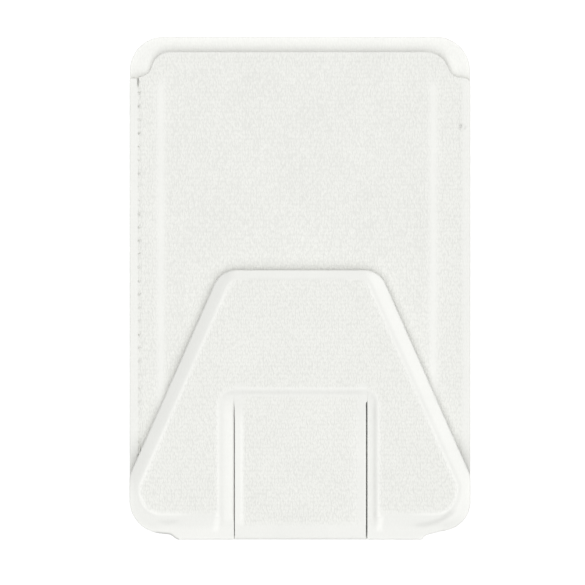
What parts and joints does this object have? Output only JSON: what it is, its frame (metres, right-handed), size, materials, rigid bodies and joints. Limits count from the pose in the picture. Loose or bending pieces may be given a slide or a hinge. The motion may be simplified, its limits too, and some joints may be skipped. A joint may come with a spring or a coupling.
{
  "type": "phone card holder with folding stand",
  "caption": "Flat card pocket that holds to the back of a phone, with a trapezoid flap that folds out on a central tongue as a stand.",
  "frame": {"origin": "on the phone-side face, at the centre of the outline", "axes": "+Y towards the pocket's open end, +Z away from the phone, +X to the right as the pocket front is seen"},
  "size_m": [0.066, 0.0974, 0.0068],
  "materials": {
    "leather": "fine grained, soft satin, off-white",
    "lining": "brushed microfibre, off-white",
    "board": "matt stiffener sheet",
    "magnet": "nickel plated",
    "steel": "cold rolled, brushed",
    "thread": "twisted polyester thread, off-white"
  },
  "bodies": {
    "wallet": {"back_panel": "leather", "back_board": "board", "ring_magnet_01": "magnet", "ring_magnet_02": "magnet", "ring_magnet_03": "magnet", "ring_magnet_04": "magnet", "ring_magnet_05": "magnet", "ring_magnet_06": "magnet", "ring_magnet_07": "magnet", "ring_magnet_08": "magnet", "ring_magnet_09": "magnet", "ring_magnet_10": "magnet", "ring_magnet_11": "magnet", "ring_magnet_12": "magnet", "ring_magnet_13": "magnet", "ring_magnet_14": "magnet", "ring_magnet_15": "magnet", "ring_magnet_16": "magnet", "ring_shield": "steel", "alignment_magnet": "magnet", "pocket_back": "leather", "welt_left": "leather", "welt_right": "leather", "welt_bottom": "leather", "front_lining": "lining", "front_board": "board", "keeper_plate": "steel", "front_panel": "leather", "seam_thread": "thread", "fold_spine": "leather", "fold_leather": "leather"},
    "strut": {"strut_backing": "lining", "strut_board": "board", "strut_leather": "leather"},
    "stand": {"stand_backing": "lining", "stand_board": "board", "stand_leather": "leather", "flap_magnet_left": "magnet", "flap_magnet_right": "magnet"}
  },
  "joints": [
    {"name": "fold_hinge", "type": "hinge", "parent": "wallet", "child": "strut", "pos_m": [0, -0.0481, 0.0061], "axis": [1, 0, 0], "range_deg": [0, 90]},
    {"name": "crease_hinge", "type": "hinge", "parent": "strut", "child": "stand", "pos_m": [0, -0.0202, 0.00609], "axis": [1, 0, 0], "range_deg": [-106.2, 0]}
  ],
  "couplings": [
    {"joint": "crease_hinge", "follows": "fold_hinge", "ratio": -1.18}
  ]
}
